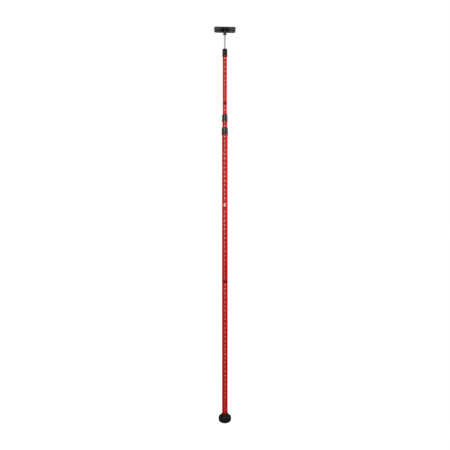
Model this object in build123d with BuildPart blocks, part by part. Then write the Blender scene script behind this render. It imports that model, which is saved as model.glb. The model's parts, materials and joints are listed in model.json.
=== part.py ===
from build123d import *
import os
from math import atan2, cos, degrees, hypot, pi, sin, sqrt

# A telescopic floor-to-ceiling rod that a laser level is clamped to.
# Millimetres, +Z up the pole, origin on the floor under the middle of the foot.
# The pole is closed up: each inner tube rests on the stop below it and shows a short length on top.

# Tubes, each of which slides in the next larger one
lower_tube_od = 26.0
tube_wall = 1.2
tube_gap = 0.55
extension_tube_length = 637.4
outer_tube_length = 690.7
middle_tube_show = 26.25
upper_tube_show = 47.25
head_tube_length = 238.1

# Clearances: radial for round pieces, along the axis for faces that stop each other
seat_gap = 0.02
thread_gap = 0.1
run_gap = 0.08
ball_gap = 0.05
lip_gap = 0.3
piston_gap = 0.3
stop_gap = 0.3

# Rubber foot
foot_od = 58.0
foot_height = 39.5
foot_shoulder_height = 34.5
foot_rim_height = 20.0
foot_lip_wall = 0.8
foot_bottom_round = 8.0
foot_rim_round = 4.0
foot_lip_chamfer = 0.3
foot_web = 3.0
foot_recess_d = 17.0
foot_recess_depth = 7.0
tread_grooves = 3
tread_groove_width = 1.6
tread_groove_depth = 1.5

# Foot fastening
foot_screw_d = 6.0
foot_screw_reach = 20.0
foot_screw_head_d = 10.0
foot_screw_head_height = 3.5
foot_screw_key = 5.0
foot_screw_key_depth = 2.2
foot_washer_thickness = 1.5
foot_washer_margin = 0.5
foot_plug_length = 24.0

# Screw couplings between the tube sections
joint_ring_height = 6.4
joint_ring_chamfer = 0.5
spigot_length = 22.0
extension_stud_d = 16.0
extension_stud_length = 22.0
head_stud_d = 9.0
head_stud_length = 20.0
socket_margin = 3.0

# Collars at the tube ends
collar_skirt = 24.5
collar_lip = 7.5
collar_wall = 1.35
collar_flange_wall = 1.95
collar_flange_height = 8.0
collar_flange_slope = 1.2
collar_draft = 0.2
collar_top_chamfer = 0.8
collar_edge_chamfer = 0.4
flute_places = 28
flutes_per_side = 9
flute_radius = 1.3
flute_depth = 0.4
flute_margin = 2.5

# Twist locks
lock_gap = 0.15
lock_stem_d = 8.0
lock_stem_tip = 1.2
lock_clip_d = 12.8
lock_clip_thickness = 1.2
lock_groove_depth = 0.8
lock_thread_pitch = 1.25
lock_cone_height = 10.0
lock_cone_drop = 1.6
lock_cone_gap = 0.1
lock_sleeve_wall = 1.5
lock_sleeve_lift = 1.0
lock_sleeve_room = 2.6
lock_sleeve_web = 2.5
lock_slots = 4
lock_slot_width = 1.6
lock_key_gap = 0.2
lock_flange = 2.6
lock_plug_length = 20.0

# Sprung head
rod_d = 8.0
rod_reach = 64.9
cap_skirt = 30.4
cap_wall = 1.7
cap_flange_wall = 2.05
cap_nose = 4.8
cap_nose_height = 3.0
cap_nose_wall = 1.6
cap_nose_lip = 2.5
cap_hole_gap = 0.3
bush_length = 50.0
bush_neck_wall = 2.0
piston_height = 12.0
pin_d = 2.5
pin_margin = 0.6
follower_thickness = 2.0
spring_guide_length = 6.0
spring_guide_gap = 0.4
spring_wire_d = 1.4
spring_side_gap = 0.5
spring_end_gap = 0.2
spring_turns = 9
spring_closed_rise = 2.2

# Ball joint under the pad
stud_flare_d = 18.2
stud_flare_rim = 1.0
stud_flare_height = 3.4
stud_top_d = 10.0
stud_socket_depth = 2.4
stud_neck_d = 5.8
ball_d = 11.0
ball_height = 11.5
cup_wall = 1.75
cup_opening = 3.2
ring_height = 2.6
ring_wall = 1.6
ring_lip_gap = 0.2
boss_wall = 1.6

# Pad
pad_length = 97.0
pad_width = 44.0
pad_corner = 10.5
pad_lift = 16.5
pad_plate_thickness = 5.0
pad_plate_web = 2.4
pad_rim = 2.2
pad_rib = 1.8
pad_edge_chamfer = 0.8
gusset_drop = 5.5
facing_thickness = 3.0
facing_chamfer = 0.8
facing_grooves = 10
facing_groove_width = 1.4
facing_groove_depth = 0.9

# Radii of the nested tubes
lower_radius = lower_tube_od / 2
lower_bore = lower_radius - tube_wall
middle_radius = lower_bore - tube_gap
middle_bore = middle_radius - tube_wall
upper_radius = middle_bore - tube_gap
upper_bore = upper_radius - tube_wall

# Heights along the pole, stacked from the floor
extension_bottom = foot_recess_depth + foot_web
extension_top = extension_bottom + extension_tube_length
outer_bottom = extension_top + joint_ring_height
outer_top = outer_bottom + outer_tube_length
lock_height = (lock_stem_tip + lock_clip_thickness + lock_thread_pitch + stop_gap + lock_cone_height
               + lock_sleeve_room + lock_sleeve_web + stop_gap + lock_flange)
middle_lock_base = outer_bottom + spigot_length + stop_gap
middle_bottom = middle_lock_base + lock_height
middle_top = outer_top + collar_lip + middle_tube_show + collar_skirt
upper_lock_base = middle_bottom + lock_plug_length + stop_gap
upper_bottom = upper_lock_base + lock_height
upper_top = middle_top + collar_lip + upper_tube_show
head_bottom = upper_top + joint_ring_height
head_top = head_bottom + head_tube_length
cap_top = head_top + cap_nose

# Heights inside the sprung head
spring_seat = head_bottom + head_stud_length + socket_margin
bush_bottom = head_top - bush_length
piston_bottom = bush_bottom - stop_gap - piston_height
follower_bottom = piston_bottom - stop_gap - follower_thickness
spring_outer_radius = upper_bore - spring_side_gap
spring_guide_radius = spring_outer_radius - spring_wire_d - spring_guide_gap

# Heights at the ball joint and the pad
stud_bottom = cap_top + rod_reach
ball_centre = stud_bottom + ball_height
pad_bottom = stud_bottom + pad_lift
plate_top = pad_bottom + pad_plate_thickness
pad_top = plate_top + facing_thickness
cup_inner_radius = ball_d / 2 + ball_gap
cup_outer_radius = cup_inner_radius + cup_wall
socket_radius = cup_outer_radius + 2 * ball_gap
ring_opening = sqrt(cup_outer_radius ** 2 - ring_height ** 2) + ring_lip_gap
ring_radius = socket_radius + ring_wall
boss_radius = ring_radius + seat_gap + boss_wall
boss_bottom = ball_centre - ring_height

os.makedirs("parts", exist_ok=True)


def keep(piece, name):
    """Label a finished piece and write it under its own name."""
    piece.label = name
    export_step(piece, f"parts/{name}.step")


# Straight tubes of the common wall
def plain_tube(outer_radius, base, length):
    with BuildPart() as tube:
        with BuildSketch(Plane.XY.offset(base)):
            Circle(outer_radius)
            Circle(outer_radius - tube_wall, mode=Mode.SUBTRACT)
        extrude(amount=length)
    return tube.part


keep(plain_tube(lower_radius, extension_bottom, extension_tube_length), "extension_tube")
keep(plain_tube(lower_radius, outer_bottom, outer_tube_length), "outer_tube")
keep(plain_tube(middle_radius, middle_bottom, middle_top - middle_bottom), "middle_tube")
keep(plain_tube(upper_radius, upper_bottom, upper_top - upper_bottom), "upper_tube")
keep(plain_tube(upper_radius, head_bottom, head_tube_length), "head_tube")

# Rubber foot: a drum with a sloped shoulder up to a thin lip that grips the tube
foot_radius = foot_od / 2
foot_recess_radius = foot_recess_d / 2
foot_lip_radius = lower_radius + foot_lip_wall
foot_socket_radius = lower_radius + seat_gap
foot_hole_radius = foot_screw_d / 2 + thread_gap
tread_edge = foot_radius - foot_bottom_round
tread_spacing = (tread_edge - foot_recess_radius) / (tread_grooves + 1)
with BuildPart() as rubber_foot:
    with BuildSketch(Plane.XZ):
        with BuildLine():
            FilletPolyline(
                (foot_socket_radius, foot_height),
                (foot_lip_radius - foot_lip_chamfer, foot_height),
                (foot_lip_radius, foot_height - foot_lip_chamfer),
                (foot_lip_radius, foot_shoulder_height),
                (foot_radius, foot_rim_height),
                (foot_radius, 0),
                (foot_recess_radius, 0),
                (foot_recess_radius, foot_recess_depth),
                (foot_hole_radius, foot_recess_depth),
                (foot_hole_radius, extension_bottom),
                (foot_socket_radius, extension_bottom),
                radius=[0, 0, 0, 0, foot_rim_round, foot_bottom_round, 0, 0, 0, 0, 0],
                close=True,
            )
        make_face()
    revolve(axis=Axis.Z)
    with BuildSketch(Plane.XZ):
        with Locations(*[(foot_recess_radius + tread_spacing * (i + 1), 0) for i in range(tread_grooves)]):
            Rectangle(tread_groove_width, 2 * tread_groove_depth)
    revolve(axis=Axis.Z, mode=Mode.SUBTRACT)
keep(rubber_foot.part, "rubber_foot")

# Steel washer against the roof of the foot's recess
washer_bottom = foot_recess_depth - foot_washer_thickness
with BuildPart() as foot_washer:
    with BuildSketch(Plane.XY.offset(washer_bottom)):
        Circle(foot_recess_radius - foot_washer_margin)
        Circle(foot_hole_radius, mode=Mode.SUBTRACT)
    extrude(amount=foot_washer_thickness)
keep(foot_washer.part, "foot_washer")

# Socket-head screw up through the foot
with BuildPart() as foot_screw:
    with BuildSketch(Plane.XY.offset(washer_bottom - foot_screw_head_height)):
        Circle(foot_screw_head_d / 2)
    extrude(amount=foot_screw_head_height)
    with BuildSketch(Plane.XY.offset(washer_bottom)):
        Circle(foot_screw_d / 2)
    extrude(amount=foot_washer_thickness + foot_web + foot_screw_reach)
    with BuildSketch(Plane.XY.offset(washer_bottom - foot_screw_head_height)):
        RegularPolygon(foot_screw_key / 2, 6, major_radius=False)
    extrude(amount=foot_screw_key_depth, mode=Mode.SUBTRACT)
keep(foot_screw.part, "foot_screw")

# Plug pressed into the tube's bottom end, which the screw pulls against
with BuildPart() as foot_plug:
    with BuildSketch(Plane.XY.offset(extension_bottom)):
        Circle(lower_bore - seat_gap)
        Circle(foot_hole_radius, mode=Mode.SUBTRACT)
    extrude(amount=foot_plug_length)
keep(foot_plug.part, "foot_plug")

# Threaded insert in the extension tube's top end
with BuildPart() as extension_socket:
    with BuildSketch(Plane.XY.offset(extension_top - extension_stud_length - socket_margin)):
        Circle(lower_bore - seat_gap)
        Circle(extension_stud_d / 2 + thread_gap, mode=Mode.SUBTRACT)
    extrude(amount=extension_stud_length + socket_margin)
keep(extension_socket.part, "extension_socket")

# Coupling: stud down into the insert, flush ring, spigot up into the outer tube
with BuildPart() as extension_joint:
    with BuildSketch(Plane.XY.offset(extension_top)):
        Circle(lower_radius)
    extrude(amount=joint_ring_height)
    chamfer(extension_joint.edges().filter_by(GeomType.CIRCLE), length=joint_ring_chamfer)
    with BuildSketch(Plane.XY.offset(outer_bottom)):
        Circle(lower_bore - seat_gap)
    extrude(amount=spigot_length)
    with BuildSketch(Plane.XY.offset(extension_top)):
        Circle(extension_stud_d / 2)
    extrude(amount=-extension_stud_length)
keep(extension_joint.part, "extension_joint")

# Coupling of the head: spigot down into the upper tube, flush ring, stud up
with BuildPart() as head_joint:
    with BuildSketch(Plane.XY.offset(upper_top)):
        Circle(upper_radius)
    extrude(amount=joint_ring_height)
    chamfer(head_joint.edges().filter_by(GeomType.CIRCLE), length=joint_ring_chamfer)
    with BuildSketch(Plane.XY.offset(upper_top)):
        Circle(upper_bore - seat_gap)
    extrude(amount=-spigot_length)
    with BuildSketch(Plane.XY.offset(head_bottom)):
        Circle(head_stud_d / 2)
    extrude(amount=head_stud_length)
keep(head_joint.part, "head_joint")

# Threaded insert in the head tube, whose closed top is the spring's seat
with BuildPart() as head_socket:
    with BuildSketch(Plane.XY.offset(head_bottom)):
        Circle(upper_bore - seat_gap)
    extrude(amount=spring_seat - head_bottom)
    with BuildSketch(Plane.XY.offset(spring_seat)):
        Circle(spring_guide_radius)
    extrude(amount=spring_guide_length)
    with BuildSketch(Plane.XY.offset(head_bottom)):
        Circle(head_stud_d / 2 + thread_gap)
    extrude(amount=head_stud_length + stop_gap, mode=Mode.SUBTRACT)
keep(head_socket.part, "head_socket")


# Grip flutes on the two sides of collars and cap, with a plain front and back
grip_span = (flutes_per_side - 1) * 360 / flute_places
grip_starts = (-grip_span / 2, 180 - grip_span / 2)


# Fluted collar pressed over a tube's top end, with a lip that guides the next tube
def guide_collar(tube_radius, inner_tube_radius, tube_top):
    bottom = tube_top - collar_skirt
    top = tube_top + collar_lip
    bore = tube_radius + seat_gap
    lip_bore = inner_tube_radius + lip_gap
    barrel = tube_radius + collar_wall
    flange = tube_radius + collar_flange_wall
    flange_top = bottom + collar_flange_height
    flute_bottom = flange_top + collar_flange_slope + flute_margin
    flute_reach = barrel + flute_radius - flute_depth
    with BuildPart() as collar:
        with BuildSketch(Plane.XZ):
            with BuildLine():
                Polyline(
                    (bore, bottom),
                    (flange - collar_edge_chamfer, bottom),
                    (flange, bottom + collar_edge_chamfer),
                    (flange, flange_top),
                    (barrel, flange_top + collar_flange_slope),
                    (barrel - collar_draft, top - collar_top_chamfer),
                    (barrel - collar_draft - collar_top_chamfer, top),
                    (lip_bore + collar_edge_chamfer, top),
                    (lip_bore, top - collar_edge_chamfer),
                    (lip_bore, tube_top),
                    (bore, tube_top),
                    close=True,
                )
            make_face()
        revolve(axis=Axis.Z)
        with BuildSketch(Plane.XY.offset(flute_bottom)):
            for start in grip_starts:
                with PolarLocations(flute_reach, flutes_per_side, start, grip_span, endpoint=True):
                    Circle(flute_radius)
        extrude(amount=top - flute_margin - flute_bottom, mode=Mode.SUBTRACT)
    return collar.part


keep(guide_collar(lower_radius, middle_radius, outer_top), "outer_collar")
keep(guide_collar(middle_radius, upper_radius, middle_top), "middle_collar")


# Twist lock: heights above the stop that the lock rests on
clip_bottom = lock_stem_tip
clip_top = clip_bottom + lock_clip_thickness
cone_bottom = clip_top + lock_thread_pitch + stop_gap
cone_top = cone_bottom + lock_cone_height
sleeve_bottom = cone_bottom + lock_sleeve_lift
sleeve_web_bottom = cone_top + lock_sleeve_room
sleeve_top = sleeve_web_bottom + lock_sleeve_web
flange_bottom = sleeve_top + stop_gap
stem_radius = lock_stem_d / 2
groove_radius = stem_radius - lock_groove_depth


# Threaded stem with the plug that is pressed into the inner tube
def lock_stem(tube_radius, tube_bore, base):
    with BuildPart() as stem:
        with BuildSketch(Plane.XZ):
            with BuildLine():
                Polyline(
                    (0, base),
                    (stem_radius, base),
                    (stem_radius, base + clip_bottom),
                    (groove_radius, base + clip_bottom),
                    (groove_radius, base + clip_top),
                    (stem_radius, base + clip_top),
                    (stem_radius, base + flange_bottom),
                    (tube_radius, base + flange_bottom),
                    (tube_radius, base + lock_height),
                    (tube_bore - seat_gap, base + lock_height),
                    (tube_bore - seat_gap, base + lock_height + lock_plug_length),
                    (0, base + lock_height + lock_plug_length),
                    close=True,
                )
            make_face()
        revolve(axis=Axis.Z)
    return stem.part


# Spring clip in the stem's groove, which keeps the cone from running off
def lock_clip(base):
    with BuildPart() as clip:
        with BuildSketch(Plane.XY.offset(base + clip_bottom)):
            Circle(lock_clip_d / 2)
            Circle(groove_radius + seat_gap, mode=Mode.SUBTRACT)
            with Locations((lock_clip_d / 2, 0)):
                Rectangle(lock_clip_d, groove_radius, mode=Mode.SUBTRACT)
        extrude(amount=lock_clip_thickness)
    return clip.part


# Radius of the cone at its foot, inside the sleeve's wall
def cone_foot_radius(tube_bore):
    return tube_bore - lock_gap - lock_sleeve_wall - lock_cone_gap


# Split sleeve that the cone spreads against the tube wall
def lock_sleeve(tube_bore, base):
    outer = tube_bore - lock_gap
    slope = lock_cone_drop / lock_cone_height
    foot_bore = cone_foot_radius(tube_bore) + lock_cone_gap - slope * lock_sleeve_lift
    top_bore = cone_foot_radius(tube_bore) + lock_cone_gap - lock_cone_drop
    with BuildPart() as sleeve:
        with BuildSketch(Plane.XZ):
            with BuildLine():
                Polyline(
                    (stem_radius + stop_gap, base + sleeve_top),
                    (outer, base + sleeve_top),
                    (outer, base + sleeve_bottom),
                    (foot_bore, base + sleeve_bottom),
                    (top_bore, base + cone_top),
                    (top_bore, base + sleeve_web_bottom),
                    (stem_radius + stop_gap, base + sleeve_web_bottom),
                    close=True,
                )
            make_face()
        revolve(axis=Axis.Z)
        with BuildSketch(Plane.XY.offset(base + sleeve_bottom)):
            with PolarLocations(outer, lock_slots):
                Rectangle(2 * (outer - stem_radius), lock_slot_width)
        extrude(amount=sleeve_web_bottom - sleeve_bottom, mode=Mode.SUBTRACT)
    return sleeve.part


# Cone nut on the stem, with keys in the sleeve's slots so that it can't turn
def lock_cone(tube_bore, base):
    foot = cone_foot_radius(tube_bore)
    key_reach = foot + lock_cone_gap
    with BuildPart() as cone:
        with BuildSketch(Plane.XZ):
            with BuildLine():
                Polyline(
                    (stem_radius + thread_gap, base + cone_bottom),
                    (foot, base + cone_bottom),
                    (foot - lock_cone_drop, base + cone_top),
                    (stem_radius + thread_gap, base + cone_top),
                    close=True,
                )
            make_face()
        revolve(axis=Axis.Z)
        with BuildSketch(Plane.XY.offset(base + cone_bottom)):
            with PolarLocations((foot - lock_cone_drop + key_reach) / 2, lock_slots):
                Rectangle(key_reach - foot + lock_cone_drop, lock_slot_width - 2 * lock_key_gap)
        extrude(amount=lock_cone_height)
        with BuildSketch(Plane.XY.offset(base + cone_bottom)):
            Circle(stem_radius + thread_gap)
        extrude(amount=lock_cone_height, mode=Mode.SUBTRACT)
    return cone.part


keep(lock_stem(middle_radius, middle_bore, middle_lock_base), "middle_lock_stem")
keep(lock_clip(middle_lock_base), "middle_lock_clip")
keep(lock_sleeve(lower_bore, middle_lock_base), "middle_lock_sleeve")
keep(lock_cone(lower_bore, middle_lock_base), "middle_lock_cone")
keep(lock_stem(upper_radius, upper_bore, upper_lock_base), "upper_lock_stem")
keep(lock_clip(upper_lock_base), "upper_lock_clip")
keep(lock_sleeve(middle_bore, upper_lock_base), "upper_lock_sleeve")
keep(lock_cone(middle_bore, upper_lock_base), "upper_lock_cone")

# Cap over the head tube's top end, fluted like the collars, with a low sloped nose
rod_radius = rod_d / 2
bush_neck_radius = rod_radius + run_gap + bush_neck_wall
cap_bottom = head_top - cap_skirt
cap_bore = upper_radius + seat_gap
cap_barrel = upper_radius + cap_wall
cap_flange = upper_radius + cap_flange_wall
cap_flange_top = cap_bottom + collar_flange_height
cap_flute_bottom = cap_flange_top + collar_flange_slope + flute_margin
cap_flute_reach = cap_barrel + flute_radius - flute_depth
cap_hole = rod_radius + cap_hole_gap
with BuildPart() as head_cap:
    with BuildSketch(Plane.XZ):
        with BuildLine():
            Polyline(
                (cap_bore, cap_bottom),
                (cap_flange - collar_edge_chamfer, cap_bottom),
                (cap_flange, cap_bottom + collar_edge_chamfer),
                (cap_flange, cap_flange_top),
                (cap_barrel, cap_flange_top + collar_flange_slope),
                (cap_barrel - collar_draft, cap_top - cap_nose_height),
                (cap_hole + cap_nose_wall, cap_top),
                (cap_hole, cap_top),
                (cap_hole, cap_top - cap_nose_lip),
                (bush_neck_radius + seat_gap, cap_top - cap_nose_lip),
                (bush_neck_radius + seat_gap, head_top),
                (cap_bore, head_top),
                close=True,
            )
        make_face()
    revolve(axis=Axis.Z)
    with BuildSketch(Plane.XY.offset(cap_flute_bottom)):
        for start in grip_starts:
            with PolarLocations(cap_flute_reach, flutes_per_side, start, grip_span, endpoint=True):
                Circle(flute_radius)
    extrude(amount=cap_top - cap_nose_height - flute_margin - cap_flute_bottom, mode=Mode.SUBTRACT)
keep(head_cap.part, "head_cap")

# Long guide bush for the rod, whose lower end stops the piston
with BuildPart() as rod_bush:
    with BuildSketch(Plane.XY.offset(bush_bottom)):
        Circle(upper_bore - seat_gap)
    extrude(amount=bush_length)
    with BuildSketch(Plane.XY.offset(head_top)):
        Circle(bush_neck_radius)
    extrude(amount=cap_nose - cap_nose_lip)
    with BuildSketch(Plane.XY.offset(bush_bottom)):
        Circle(rod_radius + run_gap)
    extrude(amount=bush_length + cap_nose, mode=Mode.SUBTRACT)
keep(rod_bush.part, "rod_bush")

# Push rod, cross-drilled for the piston's pin
pin_height = piston_bottom + piston_height / 2
with BuildPart() as push_rod:
    with BuildSketch(Plane.XY.offset(piston_bottom)):
        Circle(rod_radius)
    extrude(amount=stud_bottom + stud_socket_depth - piston_bottom)
    with BuildSketch(Plane.XZ):
        with Locations((0, pin_height)):
            Circle(pin_d / 2 + seat_gap)
    extrude(amount=rod_d, both=True, mode=Mode.SUBTRACT)
keep(push_rod.part, "push_rod")

# Piston pinned to the rod's lower end
piston_radius = upper_bore - piston_gap
with BuildPart() as rod_piston:
    with BuildSketch(Plane.XY.offset(piston_bottom)):
        Circle(piston_radius)
        Circle(rod_radius + seat_gap, mode=Mode.SUBTRACT)
    extrude(amount=piston_height)
    with BuildSketch(Plane.XZ):
        with Locations((0, pin_height)):
            Circle(pin_d / 2 + seat_gap)
    extrude(amount=2 * piston_radius, both=True, mode=Mode.SUBTRACT)
keep(rod_piston.part, "rod_piston")

# Pin through piston and rod
with BuildPart() as piston_pin:
    with BuildSketch(Plane.XZ):
        with Locations((0, pin_height)):
            Circle(pin_d / 2)
    extrude(amount=piston_radius - pin_margin, both=True)
keep(piston_pin.part, "piston_pin")

# Follower on top of the spring, which the piston turns on
with BuildPart() as spring_follower:
    with BuildSketch(Plane.XY.offset(follower_bottom)):
        Circle(piston_radius)
    extrude(amount=follower_thickness)
    with BuildSketch(Plane.XY.offset(follower_bottom)):
        Circle(spring_guide_radius)
    extrude(amount=-spring_guide_length)
keep(spring_follower.part, "spring_follower")

# Compression spring with one closed turn at each end
coil_radius = spring_outer_radius - spring_wire_d / 2
coil_bottom = spring_seat + spring_end_gap + spring_wire_d / 2
coil_top = follower_bottom - spring_end_gap - spring_wire_d / 2
half_turns = 2 * (spring_turns + 2)
open_rise = (coil_top - coil_bottom - 2 * spring_closed_rise) / spring_turns


def coil_height(turn):
    """Height of the wire's middle after so many turns from the bottom end."""
    closed = min(turn, 1) + max(turn - spring_turns - 1, 0)
    opened = min(max(turn - 1, 0), spring_turns)
    return coil_bottom + closed * spring_closed_rise + opened * open_rise


def coil_point(turn):
    angle = 2 * pi * turn
    return Vector(coil_radius * cos(angle), coil_radius * sin(angle), coil_height(turn))


def coil_direction(turn):
    """The wire's direction, with the rise averaged over the half turns on either side."""
    before = max(turn - 0.5, 0)
    after = min(turn + 0.5, half_turns / 2)
    rise = (coil_height(after) - coil_height(before)) / (after - before)
    angle = 2 * pi * turn
    flow = 2 * pi * coil_radius
    return Vector(-flow * sin(angle), flow * cos(angle), rise).normalized()


def biarc(start, start_direction, end, end_direction):
    """Two arcs that meet smoothly, from one point and direction to another."""
    chord = end - start
    both = start_direction + end_direction
    bend = 2 - 2 * start_direction.dot(end_direction)
    pull = chord.dot(both)
    reach = (sqrt(pull ** 2 + bend * chord.dot(chord)) - pull) / bend
    first_corner = start + start_direction * reach
    last_corner = end - end_direction * reach
    meeting = (first_corner + last_corner) / 2
    TangentArc(start, meeting, tangent=start_direction)
    TangentArc(meeting, end, tangent=last_corner - first_corner)


with BuildPart() as spring:
    with BuildLine() as coil:
        for half_turn in range(half_turns):
            turn = half_turn / 2
            biarc(coil_point(turn), coil_direction(turn), coil_point(turn + 0.5), coil_direction(turn + 0.5))
    with BuildSketch(Plane(origin=coil_point(0), z_dir=coil_direction(0))):
        Circle(spring_wire_d / 2)
    sweep(path=coil.line)
keep(spring.part, "spring")

# Least gap between one turn of the spring and the next, measured on points of the path
points_per_turn = 36
coil_points = [coil_point(i / points_per_turn) for i in range(half_turns // 2 * points_per_turn + 1)]
neighbours = [
    (coil_points[j] - coil_points[i]).length
    for i in range(len(coil_points))
    for j in range(i + points_per_turn // 2, min(i + 2 * points_per_turn, len(coil_points)))
]
print(f"spring: least gap to itself {min(neighbours) - spring_wire_d:.2f} mm")

# Ball stud on the rod's end: flared base, narrow neck and ball, turned from one bar
stud_neck_radius = stud_neck_d / 2
ball_radius = ball_d / 2
ball_neck_height = ball_centre - sqrt(ball_radius ** 2 - stud_neck_radius ** 2)
with BuildPart() as ball_stud:
    with BuildSketch(Plane.XZ):
        with BuildLine():
            Polyline(
                (0, ball_centre + ball_radius),
                (0, stud_bottom + stud_socket_depth),
                (rod_radius + seat_gap, stud_bottom + stud_socket_depth),
                (rod_radius + seat_gap, stud_bottom),
                (stud_flare_d / 2, stud_bottom),
                (stud_flare_d / 2, stud_bottom + stud_flare_rim),
                (stud_top_d / 2, stud_bottom + stud_flare_height),
                (stud_neck_radius, stud_bottom + stud_flare_height),
                (stud_neck_radius, ball_neck_height),
            )
            ThreePointArc(
                (stud_neck_radius, ball_neck_height),
                (ball_radius, ball_centre),
                (0, ball_centre + ball_radius),
            )
        make_face()
    revolve(axis=Axis.Z)
keep(ball_stud.part, "ball_stud")

# Plastic cup round the ball, open below for the neck
with BuildPart() as ball_cup:
    with Locations((0, 0, ball_centre)):
        Sphere(cup_outer_radius)
        Sphere(cup_inner_radius, mode=Mode.SUBTRACT)
    with BuildSketch(Plane.XY.offset(ball_centre - cup_opening)):
        Circle(cup_outer_radius)
    extrude(amount=-cup_outer_radius, mode=Mode.SUBTRACT)
keep(ball_cup.part, "ball_cup")

# Ring that closes the socket under the cup
with BuildPart() as socket_ring:
    with BuildSketch(Plane.XZ):
        with BuildLine():
            Polyline(
                (ring_opening, boss_bottom),
                (ring_radius, boss_bottom),
                (ring_radius, ball_centre - stop_gap),
                (socket_radius, ball_centre - stop_gap),
                close=True,
            )
        make_face()
    revolve(axis=Axis.Z)
keep(socket_ring.part, "socket_ring")

# Moulded pad plate: rimmed underside with ribs to its corners, gussets and the boss of the ball socket
web_bottom = plate_top - pad_plate_web
half_length = (pad_length - pad_rim) / 2
half_width = (pad_width - pad_rim) / 2
gusset_bottom = pad_bottom - gusset_drop
corner_x = pad_length / 2 - pad_corner
corner_y = pad_width / 2 - pad_corner
rib_angle = degrees(atan2(corner_y, corner_x))
rib_reach = hypot(corner_x, corner_y) + pad_corner - pad_rim / 2
with BuildPart() as pad_plate:
    with BuildSketch(Plane.XY.offset(pad_bottom)):
        RectangleRounded(pad_length, pad_width, pad_corner)
    extrude(amount=pad_plate_thickness)
    chamfer(pad_plate.faces().sort_by(Axis.Z)[0].edges(), length=pad_edge_chamfer)
    with BuildSketch(Plane.XY.offset(pad_bottom)):
        RectangleRounded(pad_length - 2 * pad_rim, pad_width - 2 * pad_rim, pad_corner - pad_rim)
    extrude(amount=web_bottom - pad_bottom, mode=Mode.SUBTRACT)
    with BuildSketch(Plane.XY.offset(pad_bottom)):
        for angle in (rib_angle, -rib_angle):
            Rectangle(2 * rib_reach, pad_rib, rotation=angle)
    extrude(amount=web_bottom - pad_bottom)
    with BuildSketch(Plane.XZ):
        with BuildLine():
            Polyline(
                (-half_length, web_bottom),
                (-half_length, pad_bottom),
                (-boss_radius, gusset_bottom),
                (boss_radius, gusset_bottom),
                (half_length, pad_bottom),
                (half_length, web_bottom),
                close=True,
            )
        make_face()
    extrude(amount=pad_rib / 2, both=True)
    with BuildSketch(Plane.YZ):
        with BuildLine():
            Polyline(
                (-half_width, web_bottom),
                (-half_width, pad_bottom),
                (-boss_radius, gusset_bottom),
                (boss_radius, gusset_bottom),
                (half_width, pad_bottom),
                (half_width, web_bottom),
                close=True,
            )
        make_face()
    extrude(amount=pad_rib / 2, both=True)
    with BuildSketch(Plane.XY.offset(boss_bottom)):
        Circle(boss_radius)
    extrude(amount=web_bottom - boss_bottom)
    with BuildSketch(Plane.XY.offset(boss_bottom)):
        Circle(ring_radius + seat_gap)
    extrude(amount=ring_height, mode=Mode.SUBTRACT)
    with BuildSketch(Plane.XY.offset(ball_centre)):
        Circle(socket_radius)
    extrude(amount=socket_radius, mode=Mode.SUBTRACT)
keep(pad_plate.part, "pad_plate")

# Rubber facing with cross grooves, bonded to the plate
groove_spacing = (pad_length - 2 * pad_corner) / (facing_grooves - 1)
with BuildPart() as pad_facing:
    with BuildSketch(Plane.XY.offset(plate_top)):
        RectangleRounded(pad_length, pad_width, pad_corner)
    extrude(amount=facing_thickness)
    chamfer(pad_facing.faces().sort_by(Axis.Z)[-1].edges(), length=facing_chamfer)
    with BuildSketch(Plane.XY.offset(pad_top)):
        with GridLocations(groove_spacing, 0, facing_grooves, 1):
            Rectangle(facing_groove_width, pad_width)
    extrude(amount=-facing_groove_depth, mode=Mode.SUBTRACT)
keep(pad_facing.part, "pad_facing")

print(f"closed height {pad_top:.1f} mm")
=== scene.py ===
import json
import math

import bmesh
import bpy
from bpy.props import FloatProperty, FloatVectorProperty, IntProperty, PointerProperty
from mathutils import Matrix, Vector


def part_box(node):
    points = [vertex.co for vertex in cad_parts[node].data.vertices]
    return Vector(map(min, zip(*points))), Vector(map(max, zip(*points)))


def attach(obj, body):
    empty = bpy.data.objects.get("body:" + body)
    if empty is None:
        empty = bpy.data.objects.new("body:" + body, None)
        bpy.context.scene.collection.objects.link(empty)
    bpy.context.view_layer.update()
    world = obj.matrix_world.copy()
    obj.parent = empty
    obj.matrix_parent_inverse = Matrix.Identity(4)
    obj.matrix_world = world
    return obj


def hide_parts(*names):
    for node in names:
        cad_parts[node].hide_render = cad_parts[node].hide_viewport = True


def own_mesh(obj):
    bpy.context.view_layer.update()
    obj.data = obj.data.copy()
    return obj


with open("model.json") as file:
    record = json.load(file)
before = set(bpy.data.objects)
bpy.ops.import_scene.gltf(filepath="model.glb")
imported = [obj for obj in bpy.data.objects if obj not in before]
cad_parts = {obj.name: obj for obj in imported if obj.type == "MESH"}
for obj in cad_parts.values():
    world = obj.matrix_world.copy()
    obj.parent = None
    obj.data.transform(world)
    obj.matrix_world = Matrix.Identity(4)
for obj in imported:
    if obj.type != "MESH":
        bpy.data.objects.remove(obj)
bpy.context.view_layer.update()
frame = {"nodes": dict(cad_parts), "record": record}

bl_info = {
    "name": "Laser levelling rod",
    "version": (1, 0, 0),
    "blender": (4, 5, 0),
    "location": "View3D > Sidebar > Levelling rod",
    "description": "Finishes the telescopic levelling rod piece by piece and sets up its studio",
    "category": "Object",
}

# Everything is in metres, so sizes are written in millimetres times MM.
MM = 0.001

# Points closer than WELD are one point, faces smaller than SLIVER are dropped, and edges that turn more than
# SHARP are shaded sharp.
WELD = 0.001 * MM
SLIVER = 0.00001 * MM ** 2
SHARP = math.radians(32)

# Faces across a round on a turned piece. A setback over LARGE_ROUND is a large one.
LARGE_ROUND = 1.5 * MM
LARGE_ROUND_STEPS = 10
SMALL_ROUND_STEPS = 4

# Radial gap between a piece and the seat that it is pressed on
SEAT_GAP = 0.02 * MM

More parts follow.
